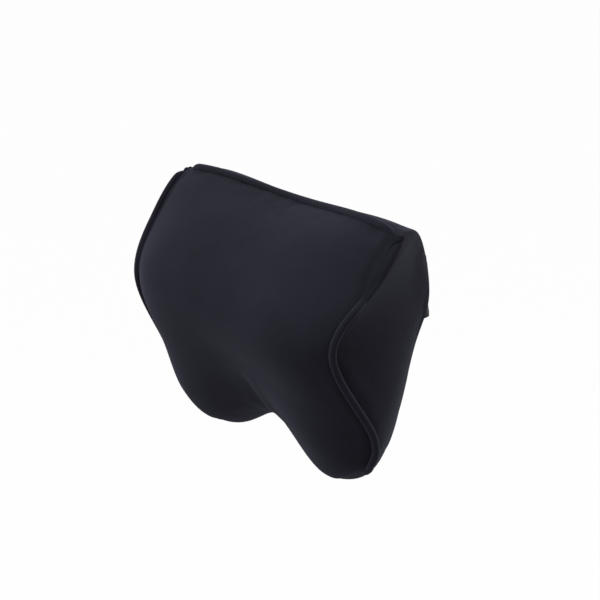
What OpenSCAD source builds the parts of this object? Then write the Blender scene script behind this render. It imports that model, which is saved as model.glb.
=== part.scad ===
// Strap-on headrest pillow for a chair: a zipped fabric cover round a moulded foam
// core, held to the chair by an elastic strap with a side-release buckle.
// Millimetres. +X right, -Y front, +Z up. The origin is the middle of the strap
// loop, between the back of the pillow and the strap.

/* [Pillow] */
// Width across the front, between the two side seams
pillow_w = 298; // [288:1:308]
// Depth from the crown of the front to the back panel
pillow_d = 137; // [133:1:141]
// Height from the top seam to the foot of the two lobes
pillow_h = 232; // [226:1:238]
// How far the side panels bulge between their seams
side_bulge = 5; // [3:0.5:6.5]

/* [Cover] */
// Thickness of the outer fabric with its bonded backing
cover_t = 2; // [1.6:0.1:2]
// Thickness of the knitted inner liner
liner_t = 0.6; // [0.4:0.1:0.6]
// Diameter of the corded piping
piping_d = 6.4; // [5.6:0.2:6.6]

/* [Zipper] */
// Length of the row of teeth
zip_len = 204; // [180:6:210]
// Width of each half of the tape
tape_w = 11; // [9:1:12]
// Distance between teeth on one side
tooth_pitch = 2.5; // [2.5:0.1:3]
// Length of the pull tab
pull_len = 24; // [18:1:30]

/* [Strap] */
// Width of the elastic webbing
strap_w = 50; // [46:1:52]
// Thickness of the elastic webbing
strap_t = 1.2; // [1:0.1:1.2]

/* [Buckle] */
// Length of the socket shell
socket_len = 37; // [36:1:38]
// Thickness of the buckle
buckle_t = 12; // [11.5:0.5:13]
// Length of the release bulge on each latch arm
latch_len = 15; // [12:1:15]
// How far the latch bulges stand out of the socket
latch_proud = 0.4; // [0.2:0.1:0.6]

/* [Hidden] */

FABRIC = [0.09, 0.09, 0.12];
LINER = [0.86, 0.86, 0.84];
FOAM = [0.93, 0.9, 0.78];
WEBBING = [0.05, 0.05, 0.06];
PLASTIC = [0.04, 0.04, 0.045];

// Outline of the pillow, read round a lengthwise slice: top seam, front crown above,
// front crown, waist above, waist below, bottom seam, back foot, zipper, back crown,
// back shoulder. Each side outline point is [half width, y, z], the others are [y, z].
SIDE = [[146, -58, 58], [149, -91, 22], [138, -120, -29], [147, -84, -103], [135, -77, -136],
        [113, -70, -148], [117, -42, -130], [120, -19, -50], [124, -7, -5], [129, -23, 49]];
LOBE = [[-57, 63], [-100, 35], [-142, -22], [-118, -86], [-102, -128],
        [-78, -158], [-37, -158], [-19, -50], [-5, -7], [-24, 49]];
MIDDLE = [[-47, 57], [-102, 33], [-141, -24], [-117, -74], [-99, -100],
          [-72, -133], [-39, -129], [-19, -50], [-5, -16], [-22, 42]];
COUNT = len(SIDE);
TOP = 0;
BOTTOM = 5;
ZIP = 7;
BACK = 8;
// The lobe outline lies at this share of the half width, squared
LOBE_Q = 0.36;
OUTLINE_SIZE = [298, 137, 232];
scale_xyz = [pillow_w / OUTLINE_SIZE[0], pillow_d / OUTLINE_SIZE[1], pillow_h / OUTLINE_SIZE[2]];

// Depths of the layers below the outer face of the cover
TAPE_DEPTH = 2.15;
TAPE_T = 0.6;
LINER_DEPTH = 4.6;
FOAM_CLEARANCE = 1.3;
foam_top = LINER_DEPTH + liner_t + FOAM_CLEARANCE;

// Sampling of the skins: across the width, down the front and up the back
ACROSS = [for (i = [-7:7]) i / 7];
FRONT_END = 0.97;
BACK_END = 0.993;
DOWN_FRONT = [0, 0.3, 0.65, 1, 1.3, 1.6, 2, 2.4, 2.82, 3, 3.18, 3.6, 4, 4.35, 4.7, 5];
UP_BACK = [for (i = [len(DOWN_FRONT) - 2:-1:1]) COUNT - DOWN_FRONT[i]];
// Gaps along the outline, at the piped top seam and the plain bottom seam
TOP_EDGE = 0.06;
BOTTOM_EDGE = 0.02;
// Distance up the back from one outline point to the next, beside the zipper
ZIP_RUN = 65;
HEM_W = 5;
hem = HEM_W / ZIP_RUN;
SIDE_ROWS = 4;
// The side panels taper to their corners between these points down the front seam
SIDE_HEAD = 0.22;
SIDE_FOOT = 4.8;
// Sides narrower than this bulge less
FULL_BULGE_W = 60;
SIDE_FRONT_GAP = 3.4;
SIDE_BACK_GAP = 1;
// Step along the outline that its direction is measured over
RUN_STEP = 0.05;
PIPING_SIDES = 8;
piping_r = piping_d / 2;
// The cord sits this far outside the seam line
piping_out = 0.8 * piping_r;
TOP_LEAN = [0, -0.2, 1];
// Where the cords start and end, along the outline and across the width
PIPING_HEAD = 0.14;
PIPING_FOOT = 4.45;
PIPING_TOP_END = 0.955;
PIPING_STEPS = 28;
PIPING_TOP_STEPS = 22;

// Zipper plane
zip_y = MIDDLE[ZIP][0] * scale_xyz[1];
zip_z = MIDDLE[ZIP][1] * scale_xyz[2];
ZIP_LEAN = 14.4;
TAPE_END = 0.975;
TOOTH = [1.1, 1.7, 2.2];
TOOTH_GAP = 0.8;
TOOTH_SINK = 0.2;
tooth_y = -TOOTH[1] - TOOTH_SINK;
teeth_per_row = floor(zip_len / tooth_pitch);
SLIDER_PARK = 7;
slider_x = SLIDER_PARK - zip_len / 2;
SLIDER = [12, 1.2, 9];
SLIDER_TOP = 0.9;
SLIDER_UNDER = -3.95;
UNDER_PLATE_T = 0.8;
POST = [3, 1];
// The slider's bridge: its length, height and width, the wire it is bent from and its opening
BRIDGE = [7.6, 3.1, 1.6];
BRIDGE_WIRE = 1.2;
BRIDGE_HOLE = 1.9;
pull_axis_y = SLIDER_TOP + SLIDER[1] + BRIDGE_HOLE / 2;
PULL_T = 1.3;
PULL_W = 7;
PULL_START = 5;
PULL_ARM = 1;
PULL_HOLE_D = 3;
PULL_SLACK = 0.4;
STOP = [2.4, 2.4, 5];
STOP_GAP = 2;

// Strap, seen from above: the centre line of the webbing from the seam to its straight run
STRAP_Y = 11.8;
BAR_Y = 9.5;
STRAP_BEND = [[123.8, -6.2], [121, -3.2], [116.5, -0.2], [110, 4], [101, 8.6], [92, 11.2], [84, STRAP_Y]];
turn_r = STRAP_Y - BAR_Y;
return_y = BAR_Y - turn_r;
STRAP_CUT_GAP = 0.3;
STRAP_ROWS = 6;
// How many of the first steps of the centre line still follow the curved seam: at the lower edge of
// the strap, which stands away from it, and at the upper edge, which lies against it
ROOT_STEPS = [1.5, 8];
// One point part of the way along each straight run
LEFT_RUN_X = 62;
RIGHT_RUN_X = 68;
// The sewn end of the right strap: where it is cut, and its inner layer from the plug bar
LOOP_END = 52;
LAYER_GAP = 0.15;
LOOP_BACK = [[4, 0.4], [10, 2.45], [13, 3.25]];
LOOP_TAIL = 1;
// The end of the left strap round the adjuster's centre bar
WRAP_GAP = 0.2;
WRAP_RUN_IN = 4;
WRAP_TAIL = 3;
// Seam positions, along the back seam, of the lower and upper edge of the strap
SEAM_LOW = 7.55;
SEAM_HIGH = 8.42;

// Buckle
BAR_R = 1.5;
SOCKET_BAR_X = -40;
PLUG_BAR_X = 27;
MOUTH_X = 4;
BUCKLE_HALF = 31;
WALL = 2.2;
CAVITY_HALF = 28.5;
EAR_T = 5;
EAR_H = 7;
PLUG_BASE = [5, 17];
ARM_T = 4;
ARM_Z = 19;
ARM_TIP_X = -21;
HINGE_X = 8;
HINGE_R = 2.2;
HINGE_GAP = 0.25;
HINGE_SLOT = 6.4;
TONGUE = [27, 3, 8];
BLOCK_R = 3;
BAR_EAR = 3;
BACK_WALL = 4;
WINDOW_SPARE = 3;
// The sunk field on the socket: its depth, the rim it leaves at each end, its height and corners
RECESS_DEPTH = 0.6;
RECESS_RIM = 6;
RECESS_H = 30;
RECESS_R = 5;
GRIP_R = 0.5;
GRIP_PITCH = 3;
GRIP_HALF = 20;
ARM_SLACK = 0.4;
// The latch's bulge: how far its grip ribs are along its slope, and the steps of its outline
LATCH_RIBS = [0.2, 0.5, 0.8];
LATCH_SHOULDER = 3;
LATCH_STEP = 0.6;
LATCH_LEAD = 1.5;
LATCH_GAP = 0.5;
socket_start = MOUTH_X - socket_len;
cavity_h = buckle_t - 2 * WALL;
arm_h = cavity_h - 2 * ARM_SLACK;

// Strap adjuster
ADJUST_X = -74;
ADJUST_HALF = 11;
OUTER_BAR = [3.6, 2.2];
CENTRE_BAR = [4, 1.4];
RAIL_T = 5;
RAIL_SLACK = 0.6;
OUTER_SLACK = 0.3;
CENTRE_SLACK = 0.2;
BAR_END = 1;
rail_z = strap_w / 2 + RAIL_SLACK;
outer_bar_y = STRAP_Y + strap_t / 2 + OUTER_SLACK;
centre_bar_y = return_y + strap_t / 2 + CENTRE_SLACK;

// Care label: sewn to the back seam at this point along it, and how far its corner is from there
LABEL = [20, 0.4, 30];
LABEL_SEAM = 6.6;
LABEL_OFF = [-1.8, 2.8, -13.5];
LABEL_TURN = 125;

// ---- Shape of the pillow ----

function side_yz(k) = [SIDE[k][1], SIDE[k][2]];
function at(k) = (k + COUNT) % COUNT;

// Outline point k at the share s of the half width
function raw(k, s) =
    let (q = s * s)
    MIDDLE[k] * (q - LOBE_Q) * (q - 1) / LOBE_Q
    + LOBE[k] * q * (q - 1) / (LOBE_Q * (LOBE_Q - 1))
    + side_yz(k) * q * (q - LOBE_Q) / (1 - LOBE_Q);

// The same point at its real size
function sized(k, s) =
    let (p = raw(k, s))
    [p[0] * scale_xyz[1], p[1] * scale_xyz[2]];

// Direction that points into the pillow at outline point k
function inward(k, s) =
    let (run = sized(at(k + 1), s) - sized(at(k - 1), s))
    [-run[1], run[0]] / norm(run);

// Outline point k, moved a depth d into the pillow, as [x, y, z]
function knot(k, s, d) =
    let (p = sized(k, s) + d * inward(k, s))
    [s * (SIDE[k][0] * scale_xyz[0] - d), p[0], p[1]];

function section(s, d) = [for (k = [0:COUNT - 1]) knot(k, s, d)];

// Smooth closed curve through the outline points
function on_loop(p, u) =
    let (k = floor(u), t = u - k, a = p[at(k - 1)], b = p[at(k)], c = p[at(k + 1)], e = p[at(k + 2)])
    b + 0.5 * t * (c - a + t * (2 * a - 5 * b + 4 * c - e + t * (3 * (b - c) + e - a)));

function skin(across, around, d) =
    [for (s = across) let (p = section(s, d)) [for (u = around) on_loop(p, u)]];

// Point of the right side's seams at position u round the outline
function seam_point(u) = on_loop(section(1, 0), u);

function shares(n) = [for (i = [0:n]) i / n];
function scaled(list, k) = [for (v = list) v * k];
function ends(list, low, high) = [low, for (v = list) if (v > low && v < high) v, high];

// Width of a side at u down its front seam, where p is the outline of the side
function side_width(p, u) = norm(on_loop(p, COUNT - u) - on_loop(p, u));

// Point of a side at u down its front seam and the share g of the way to its back seam
function side_point(sign, p, u, g) =
    let (
        f = on_loop(p, u),
        m = f + (on_loop(p, COUNT - u) - f) * g,
        bulge = side_bulge * min(1, side_width(p, u) / FULL_BULGE_W) * 4 * g * (1 - g))
    [sign * (m[0] + bulge), m[1], m[2]];

// Side panel between the front seam and the back seam, at depth d
function side_skin(sign, d, front_gap, back_gap) =
    let (p = section(1, d))
    [for (u = ends(DOWN_FRONT, SIDE_HEAD, SIDE_FOOT))
        let (w = side_width(p, u))
        [for (v = shares(SIDE_ROWS))
            side_point(sign, p, u, front_gap / w + v * (1 - (front_gap + back_gap) / w))]];

// ---- Solids from grids of points ----

function flat(rows) = [for (r = rows) each r];

// The two triangles of a four-cornered face, wound either way
function halves(a, b, c, d, turn) = turn ? [[a, b, c], [a, c, d]] : [[c, b, a], [d, c, a]];

function quads(n, m, first, turn) =
    [for (i = [0:n - 2]) for (j = [0:m - 2])
        let (a = first + i * m + j)
        each halves(a, a + 1, a + m + 1, a + m, turn)];

function rim_path(n, m) = concat(
    [for (j = [0:m - 2]) j],
    [for (i = [0:n - 2]) i * m + m - 1],
    [for (j = [m - 1:-1:1]) (n - 1) * m + j],
    [for (i = [n - 1:-1:1]) i * m]);

// A sheet with thickness: its two faces and the rim that joins them
module sheet(outer, inner, turn = false) {
    n = len(outer);
    m = len(outer[0]);
    path = rim_path(n, m);
    k = len(path);
    rim = [for (i = [0:k - 1])
        let (a = path[i], b = path[(i + 1) % k])
        each halves(a, a + n * m, b + n * m, b, turn)];
    polyhedron(
        points = concat(flat(outer), flat(inner)),
        faces = concat(quads(n, m, 0, turn), quads(n, m, n * m, !turn), rim));
}

// A round cord along a list of points, with the direction that counts as out at each one
module tube(line, out, r) {
    n = len(line);
    m = PIPING_SIDES;
    rings = [for (i = [0:n - 1])
        let (
            run = line[min(n - 1, i + 1)] - line[max(0, i - 1)],
            t = run / norm(run),
            o = out[i] - (out[i] * t) * t,
            a = o / norm(o),
            b = cross(t, a))
        [for (j = [0:m - 1]) line[i] + r * (a * cos(360 * j / m) + b * sin(360 * j / m))]];
    walls = [for (i = [0:n - 2]) for (j = [0:m - 1])
        let (k = (j + 1) % m)
        each halves(i * m + j, (i + 1) * m + j, (i + 1) * m + k, i * m + k, true)];
    polyhedron(
        points = flat(rings),
        faces = concat(walls, [[for (j = [0:m - 1]) j]], [[for (j = [m - 1:-1:0]) (n - 1) * m + j]]));
}

// The strap as a flat band: a centre line seen from above, given thickness
function band_edge(line, half) =
    [for (i = [0:len(line) - 1])
        let (run = line[min(len(line) - 1, i + 1)] - line[max(0, i - 1)])
        line[i] + half * [-run[1], run[0]] / norm(run)];

module band(line) {
    translate([0, 0, -strap_w / 2])
        linear_extrude(strap_w)
            polygon(concat(band_edge(line, strap_t / 2), reversed(band_edge(line, -strap_t / 2))));
}

function reversed(list) = [for (i = [len(list) - 1:-1:0]) list[i]];
function half_turn(x, side) = [for (a = [90:-30:-90]) [x + side * turn_r * cos(a), BAR_Y + turn_r * sin(a)]];

// ---- Foam and liner ----

module foam_core() {
    h = len(DOWN_FRONT) - 1;
    around = concat(DOWN_FRONT, [for (i = [h - 1:-1:1]) COUNT - DOWN_FRONT[i]]);
    m = len(around);
    rings = skin(ACROSS, around, foam_top);
    n = len(rings);
    body = [for (i = [0:n - 2]) for (j = [0:m - 1])
        let (k = (j + 1) % m)
        each halves(i * m + j, i * m + k, (i + 1) * m + k, (i + 1) * m + j, false)];
    p = section(1, foam_top);
    inside = [for (sign = [-1, 1]) for (i = [1:h - 1]) for (j = [1:SIDE_ROWS - 1])
        side_point(sign, p, DOWN_FRONT[i], j / SIDE_ROWS)];
    left = end_faces(h, m, 0, n * m, false);
    right = end_faces(h, m, (n - 1) * m, n * m + len(inside) / 2, true);
    color(FOAM) polyhedron(points = concat(flat(rings), inside), faces = concat(body, left, right));
}

// Point of a foam end in row i of h and column j: on its ring of m points, or inside it
function end_at(h, m, ring, inside, i, j) =
    i == 0 || i == h ? ring + i
        : j == 0 ? ring + i
        : j == SIDE_ROWS ? ring + m - i
        : inside + (i - 1) * (SIDE_ROWS - 1) + j - 1;

function end_faces(h, m, ring, inside, turn) =
    [for (i = [0:h - 1]) for (j = [0:SIDE_ROWS - 1])
        let (
            a = end_at(h, m, ring, inside, i, j),
            b = end_at(h, m, ring, inside, i, j + 1),
            c = end_at(h, m, ring, inside, i + 1, j + 1),
            d = end_at(h, m, ring, inside, i + 1, j))
        for (face = halves(a, b, c, d, turn))
            if (face[0] != face[1] && face[1] != face[2] && face[2] != face[0]) face];

module liner_front() {
    around = ends(DOWN_FRONT, TOP_EDGE, BOTTOM - BOTTOM_EDGE);
    across = scaled(ACROSS, FRONT_END);
    color(LINER) sheet(skin(across, around, LINER_DEPTH), skin(across, around, LINER_DEPTH + liner_t));
}

module liner_back() {
    around = ends(UP_BACK, BOTTOM + BOTTOM_EDGE, COUNT - TOP_EDGE);
    across = scaled(ACROSS, FRONT_END);
    color(LINER) sheet(skin(across, around, LINER_DEPTH), skin(across, around, LINER_DEPTH + liner_t));
}

module liner_side(sign) {
    color(LINER) sheet(
        side_skin(sign, LINER_DEPTH, SIDE_FRONT_GAP, SIDE_FRONT_GAP),
        side_skin(sign, LINER_DEPTH + liner_t, SIDE_FRONT_GAP, SIDE_FRONT_GAP),
        sign > 0);
}

module liner_side_left() { liner_side(-1); }

module liner_side_right() { liner_side(1); }

// ---- Outer cover ----

module front_panel() {
    around = ends(DOWN_FRONT, TOP_EDGE, BOTTOM - BOTTOM_EDGE);
    across = scaled(ACROSS, FRONT_END);
    color(FABRIC) sheet(skin(across, around, 0), skin(across, around, cover_t));
}

module back_panel_upper() {
    around = ends(UP_BACK, ZIP + hem, COUNT - TOP_EDGE);
    across = scaled(ACROSS, BACK_END);
    color(FABRIC) sheet(skin(across, around, 0), skin(across, around, cover_t));
}

module back_panel_lower() {
    around = ends(UP_BACK, BOTTOM + BOTTOM_EDGE, ZIP - hem);
    across = scaled(ACROSS, BACK_END);
    color(FABRIC) sheet(skin(across, around, 0), skin(across, around, cover_t));
}

module side_panel(sign) {
    color(FABRIC) sheet(
        side_skin(sign, 0, SIDE_FRONT_GAP, SIDE_BACK_GAP),
        side_skin(sign, cover_t, SIDE_FRONT_GAP, SIDE_BACK_GAP),
        sign > 0);
}

module side_panel_left() { side_panel(-1); }

module side_panel_right() { side_panel(1); }

// ---- Piping ----

module side_piping(sign) {
    steps = [for (i = shares(PIPING_STEPS)) PIPING_HEAD + i * (PIPING_FOOT - PIPING_HEAD)];
    p = section(1, 0);
    out = [for (u = steps)
        let (run = on_loop(p, u + RUN_STEP) - on_loop(p, u - RUN_STEP), w = norm([run[1], run[2]]))
        [sign, run[2] / w, -run[1] / w] / sqrt(2)];
    line = [for (i = [0:len(steps) - 1])
        let (c = on_loop(p, steps[i]))
        [sign * c[0], c[1], c[2]] + piping_out * out[i]];
    color(FABRIC) tube(line, out, piping_r);
}

module piping_left() { side_piping(-1); }

module piping_right() { side_piping(1); }

module piping_top() {
    across = scaled([for (f = shares(PIPING_TOP_STEPS)) 2 * f - 1], PIPING_TOP_END);
    out = [for (s = across) TOP_LEAN];
    line = [for (s = across) on_loop(section(s, 0), TOP) + piping_out * TOP_LEAN / norm(TOP_LEAN)];
    color(FABRIC) tube(line, out, piping_r);
}

// ---- Zipper ----

// Puts a piece in the plane of the zipper: x along it, y out of the pillow, z up the back
module on_zipper() {
    translate([0, zip_y, zip_z]) rotate([-ZIP_LEAN, 0, 0]) children();
}

module tape(low, high) {
    across = scaled(ACROSS, TAPE_END);
    around = [for (w = [low, (low + high) / 2, high]) ZIP + w / ZIP_RUN];
    color(WEBBING) sheet(skin(across, around, TAPE_DEPTH), skin(across, around, TAPE_DEPTH + TAPE_T));
}

module zipper_tape_upper() { tape(TOOTH_GAP, tape_w); }

module zipper_tape_lower() { tape(-tape_w, -TOOTH_GAP); }

module teeth(sign, first) {
    z = sign > 0 ? TOOTH_GAP : -TOOTH_GAP - TOOTH[2];
    color(PLASTIC) on_zipper()
        for (i = [0:teeth_per_row - 1])
            translate([-zip_len / 2 + first + i * tooth_pitch, tooth_y, z]) cube(TOOTH);
}

module zipper_teeth_upper() { teeth(1, 0); }

module zipper_teeth_lower() { teeth(-1, tooth_pitch / 2); }

module zipper_end_stops() {
    color(PLASTIC) on_zipper()
        for (side = [-1, 1])
            translate([side * (zip_len / 2 + STOP_GAP + STOP[0] / 2) - STOP[0] / 2, tooth_y, -STOP[2] / 2])
                cube(STOP);
}

module zipper_slider() {
    bridge_start = SLIDER_TOP + SLIDER[1] / 2;
    post_start = SLIDER_UNDER + UNDER_PLATE_T / 2;
    color(PLASTIC) on_zipper() translate([slider_x, 0, 0]) {
        difference() {
            union() {
                translate([-SLIDER[0] / 2, SLIDER_TOP, -SLIDER[2] / 2]) cube(SLIDER);
                translate([-BRIDGE[0] / 2, bridge_start, -BRIDGE[2] / 2])
                    cube([BRIDGE[0], BRIDGE[1] + SLIDER[1] / 2, BRIDGE[2]]);
            }
            translate([-BRIDGE[0] / 2 + BRIDGE_WIRE, SLIDER_TOP + SLIDER[1], -BRIDGE[2]])
                cube([BRIDGE[0] - 2 * BRIDGE_WIRE, BRIDGE_HOLE, 2 * BRIDGE[2]]);
        }
        translate([-SLIDER[0] / 2, SLIDER_UNDER, -SLIDER[2] / 2])
            cube([SLIDER[0], UNDER_PLATE_T, SLIDER[2]]);
        translate([-SLIDER[0] / 2, post_start, -POST[1] / 2])
            cube([POST[0], bridge_start - post_start, POST[1]]);
    }
}

module zipper_pull() {
    arm_z = BRIDGE[2] / 2 + PULL_SLACK + PULL_ARM / 2;
    tip_x = PULL_START + pull_len - PULL_W / 2;
    color(PLASTIC) on_zipper() translate([slider_x, pull_axis_y, 0]) {
        translate([0, 0, -arm_z]) cylinder(h = 2 * arm_z, d = PULL_T, $fn = 24);
        for (side = [-1, 1])
            translate([0, -PULL_T / 2, side * arm_z - PULL_ARM / 2])
                cube([PULL_START + PULL_ARM, PULL_T, PULL_ARM]);
        difference() {
            union() {
                translate([PULL_START, -PULL_T / 2, -PULL_W / 2]) cube([tip_x - PULL_START, PULL_T, PULL_W]);
                translate([tip_x, PULL_T / 2, 0])
                    rotate([90, 0, 0]) cylinder(h = PULL_T, d = PULL_W, $fn = 48);
            }
            translate([tip_x, PULL_T, 0])
                rotate([90, 0, 0]) cylinder(h = 2 * PULL_T, d = PULL_HOLE_D, $fn = 32);
        }
    }
}

module care_label() {
    seam = seam_point(LABEL_SEAM);
    color("white") translate([-seam[0], seam[1], seam[2]] + LABEL_OFF)
        rotate([0, 0, LABEL_TURN]) cube(LABEL);
}

// ---- Strap ----

// How much point j of the bend follows the curved seam, which ends with the bend itself
function bend_share(j, reach) = j < len(STRAP_BEND) - 1 ? max(0, 1 - j / reach) : 0;

// Band from the back seam to the straight run. Its first points follow the curved seam.
module seam_band(sign, tail) {
    line = concat(STRAP_BEND, tail);
    middle = seam_point(BACK);
    rows = [for (i = [0:STRAP_ROWS])
        let (
            f = i / STRAP_ROWS,
            seam = seam_point(SEAM_LOW + f * (SEAM_HIGH - SEAM_LOW)),
            off = [seam[0] - middle[0], seam[1] - middle[1]],
            reach = ROOT_STEPS[0] + f * (ROOT_STEPS[1] - ROOT_STEPS[0]))
        [for (j = [0:len(line) - 1]) [line[j] + off * bend_share(j, reach), (f - 0.5) * strap_w]]];
    faces = [for (half = [-strap_t / 2, strap_t / 2])
        [for (row = rows)
            let (edge = band_edge([for (p = row) p[0]], half))
            [for (j = [0:len(edge) - 1]) [sign * edge[j][0], edge[j][1], row[j][1]]]]];
    color(WEBBING) sheet(faces[0], faces[1], sign < 0);
}

module strap_left() {
    turn = [for (p = half_turn(SOCKET_BAR_X, 1)) [-p[0], p[1]]];
    seam_band(-1, concat([[LEFT_RUN_X, STRAP_Y]], turn));
}

// Inner layer of the strap, from the socket bar back to the adjuster's centre bar
module strap_left_return() {
    wrap_r = (CENTRE_BAR[1] + strap_t) / 2 + WRAP_GAP;
    wrap_y = centre_bar_y + CENTRE_BAR[1] / 2;
    x = ADJUST_X - CENTRE_BAR[0] / 2;
    color(WEBBING) band(concat(
        [[SOCKET_BAR_X - STRAP_CUT_GAP, return_y], [x + WRAP_RUN_IN, wrap_y - wrap_r]],
        [for (a = [270:-30:90]) [x + wrap_r * cos(a), wrap_y + wrap_r * sin(a)]],
        [[ADJUST_X + WRAP_TAIL, wrap_y + wrap_r]]));
}

module strap_right() { seam_band(1, [[RIGHT_RUN_X, STRAP_Y], [LOOP_END + STRAP_CUT_GAP, STRAP_Y]]); }

// The end of the right strap, turned round the plug bar and sewn back on itself
module strap_right_loop() {
    sewn_y = STRAP_Y - strap_t - LAYER_GAP;
    color(WEBBING) band(concat(
        [[LOOP_END, STRAP_Y]],
        half_turn(PLUG_BAR_X, -1),
        [for (p = LOOP_BACK) [PLUG_BAR_X + p[0], min(sewn_y, return_y + p[1])]],
        [[LOOP_END - LOOP_TAIL, sewn_y]]));
}

// A bar along z with round edges, size [width in x, thickness in y], its inner face at y = 0
module round_bar(size, half) {
    r = size[1] / 2;
    for (side = [-1, 1])
        translate([side * (size[0] / 2 - r), r, -half]) cylinder(h = 2 * half, r = r, $fn = 32);
    translate([r - size[0] / 2, 0, -half]) cube([size[0] - 2 * r, size[1], 2 * half]);
}

module strap_adjuster() {
    depth = outer_bar_y + OUTER_BAR[1] - centre_bar_y;
    bar_half = rail_z + BAR_END;
    color(PLASTIC) translate([ADJUST_X, 0, 0]) {
        for (side = [-1, 1]) {
            translate([side * (ADJUST_HALF - OUTER_BAR[0] / 2), outer_bar_y, 0])
                round_bar(OUTER_BAR, bar_half);
            translate([-ADJUST_HALF, centre_bar_y, side * (rail_z + RAIL_T / 2) - RAIL_T / 2])
                cube([2 * ADJUST_HALF, depth, RAIL_T]);
        }
        translate([0, centre_bar_y, 0]) round_bar(CENTRE_BAR, bar_half);
    }
}

// ---- Buckle ----

module bar_and_ears(bar_x, from, to) {
    ear_z = BUCKLE_HALF - EAR_T / 2;
    for (side = [-1, 1])
        translate([from, BAR_Y - EAR_H / 2, side * ear_z - EAR_T / 2]) cube([to - from, EAR_H, EAR_T]);
    translate([bar_x, BAR_Y, -ear_z]) cylinder(h = 2 * ear_z, r = BAR_R, $fn = 32);
}

// A block with its four long edges rounded, x from a to b
module rounded_block(a, b, h, half, r) {
    hull()
        for (y = [-1, 1])
            for (z = [-1, 1])
                translate([a, y * (h / 2 - r), z * (half - r)])
                    rotate([0, 90, 0]) cylinder(h = b - a, r = r, $fn = 32);
}

// A plate in the plane of the back with round corners, size [x, z], y from 0 to h
module round_plate(size, r, h) {
    translate([-size[0] / 2, 0, r - size[1] / 2]) cube([size[0], h, size[1] - 2 * r]);
    translate([r - size[0] / 2, 0, -size[1] / 2]) cube([size[0] - 2 * r, h, size[1]]);
    for (x = [-1, 1])
        for (z = [-1, 1])
            translate([x * (size[0] / 2 - r), h, z * (size[1] / 2 - r)])
                rotate([90, 0, 0]) cylinder(h = h, r = r, $fn = 32);
}

module buckle_socket() {
    window = [latch_len + WINDOW_SPARE, cavity_h, 2 * BUCKLE_HALF + 2];
    recess = [socket_len - 2 * RECESS_RIM, RECESS_H];
    color(PLASTIC) {
        difference() {
            translate([0, BAR_Y, 0]) rounded_block(socket_start, MOUTH_X, buckle_t, BUCKLE_HALF, BLOCK_R);
            translate([socket_start + BACK_WALL, BAR_Y - cavity_h / 2, -CAVITY_HALF])
                cube([socket_len, cavity_h, 2 * CAVITY_HALF]);
            translate([ARM_TIP_X - 1, BAR_Y - window[1] / 2, -window[2] / 2]) cube(window);
            translate([(socket_start + MOUTH_X) / 2, BAR_Y + buckle_t / 2 - RECESS_DEPTH, 0])
                round_plate(recess, RECESS_R, 2 * RECESS_DEPTH);
        }
        bar_and_ears(SOCKET_BAR_X, SOCKET_BAR_X - BAR_EAR, socket_start + 1);
    }
}

module buckle_plug() {
    pocket_r = HINGE_R + HINGE_GAP;
    pocket_h = arm_h + 2 * HINGE_GAP;
    color(PLASTIC) {
        difference() {
            translate([0, BAR_Y, 0])
                rounded_block(PLUG_BASE[0], PLUG_BASE[1], buckle_t, BUCKLE_HALF, BLOCK_R);
            for (side = [-1, 1]) {
                translate([HINGE_X, BAR_Y + pocket_h / 2, side * ARM_Z]) rotate([90, 0, 0])
                    cylinder(h = pocket_h, r = pocket_r, $fn = 48);
                translate([PLUG_BASE[0] - 1, BAR_Y - pocket_h / 2, side * ARM_Z - HINGE_SLOT / 2])
                    cube([HINGE_X - PLUG_BASE[0] + 1, pocket_h, HINGE_SLOT]);
            }
        }
        translate([PLUG_BASE[0] - TONGUE[0] + 1, BAR_Y - TONGUE[1] / 2, -TONGUE[2] / 2]) cube(TONGUE);
        bar_and_ears(PLUG_BAR_X, PLUG_BASE[1] - 1, PLUG_BAR_X + BAR_EAR);
        for (x = [-GRIP_PITCH:GRIP_PITCH:GRIP_PITCH])
            translate([(PLUG_BASE[0] + PLUG_BASE[1]) / 2 + x, BAR_Y + buckle_t / 2 - 0.1, -GRIP_HALF])
                cylinder(h = 2 * GRIP_HALF, r = GRIP_R, $fn = 24);
    }
}

// A springy arm from its flexing root to its tip, with the bulge that fills the socket window
module latch_arm(side) {
    bulge_x = ARM_TIP_X + LATCH_GAP;
    bulge_end = bulge_x + latch_len;
    inner = ARM_Z - ARM_T / 2;
    proud = BUCKLE_HALF + latch_proud;
    slope_start = [bulge_x + LATCH_SHOULDER, BUCKLE_HALF - LATCH_LEAD];
    slope_end = [bulge_x + latch_len / 2, proud - LATCH_STEP];
    color(PLASTIC) translate([0, BAR_Y + arm_h / 2, 0]) rotate([90, 0, 0]) {
        translate([HINGE_X, side * ARM_Z]) cylinder(h = arm_h, r = HINGE_R, $fn = 48);
        for (f = LATCH_RIBS)
            let (p = slope_start + f * (slope_end - slope_start))
                translate([p[0], side * p[1], 0]) cylinder(h = arm_h, r = GRIP_R, $fn = 24);
        linear_extrude(arm_h)
            polygon([for (p = [
                [HINGE_X, inner], [HINGE_X, inner + ARM_T], [bulge_end + LATCH_STEP, inner + ARM_T + 1],
                [bulge_end, BUCKLE_HALF - LATCH_STEP], [bulge_end - LATCH_SHOULDER, proud],
                slope_end, slope_start,
                [bulge_x, CAVITY_HALF - 2], [bulge_x, inner + ARM_T - 1], [bulge_x + 2, inner + LATCH_LEAD]])
                    [p[0], side * p[1]]]);
    }
}

module latch_arm_upper() { latch_arm(1); }

module latch_arm_lower() { latch_arm(-1); }

foam_core();
liner_front();
liner_back();
liner_side_left();
liner_side_right();
front_panel();
side_panel_left();
side_panel_right();
back_panel_upper();
back_panel_lower();
piping_left();
piping_right();
piping_top();
zipper_tape_upper();
zipper_tape_lower();
zipper_teeth_upper();
zipper_teeth_lower();
zipper_end_stops();
zipper_slider();
zipper_pull();
care_label();
strap_left();
strap_left_return();
strap_right();
strap_right_loop();
strap_adjuster();
buckle_socket();
buckle_plug();
latch_arm_upper();
latch_arm_lower();
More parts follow.
